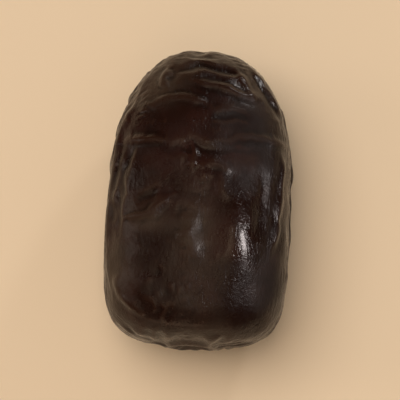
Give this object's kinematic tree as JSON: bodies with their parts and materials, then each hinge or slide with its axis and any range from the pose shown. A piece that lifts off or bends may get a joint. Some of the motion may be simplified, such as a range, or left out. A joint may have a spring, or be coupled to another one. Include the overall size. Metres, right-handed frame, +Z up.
{
  "type": "date fruit",
  "caption": "Single soft dark date, an oblong fruit with folded, sunken glossy skin, a small pit where the cap came off, lying on a side that has settled flat.",
  "frame": {"origin": "on the surface that the fruit rests on, under the middle of its bounding box", "axes": "+Y along the fruit towards the blossom tip, -Y towards the stem end, +Z up out of the broad upper face, +X across the fruit"},
  "size_m": [0.0246, 0.0398, 0.0201],
  "materials": {
    "date_skin": "gloss"
  },
  "bodies": {
    "root": {"date_fruit": "date_skin"}
  },
  "joints": []
}
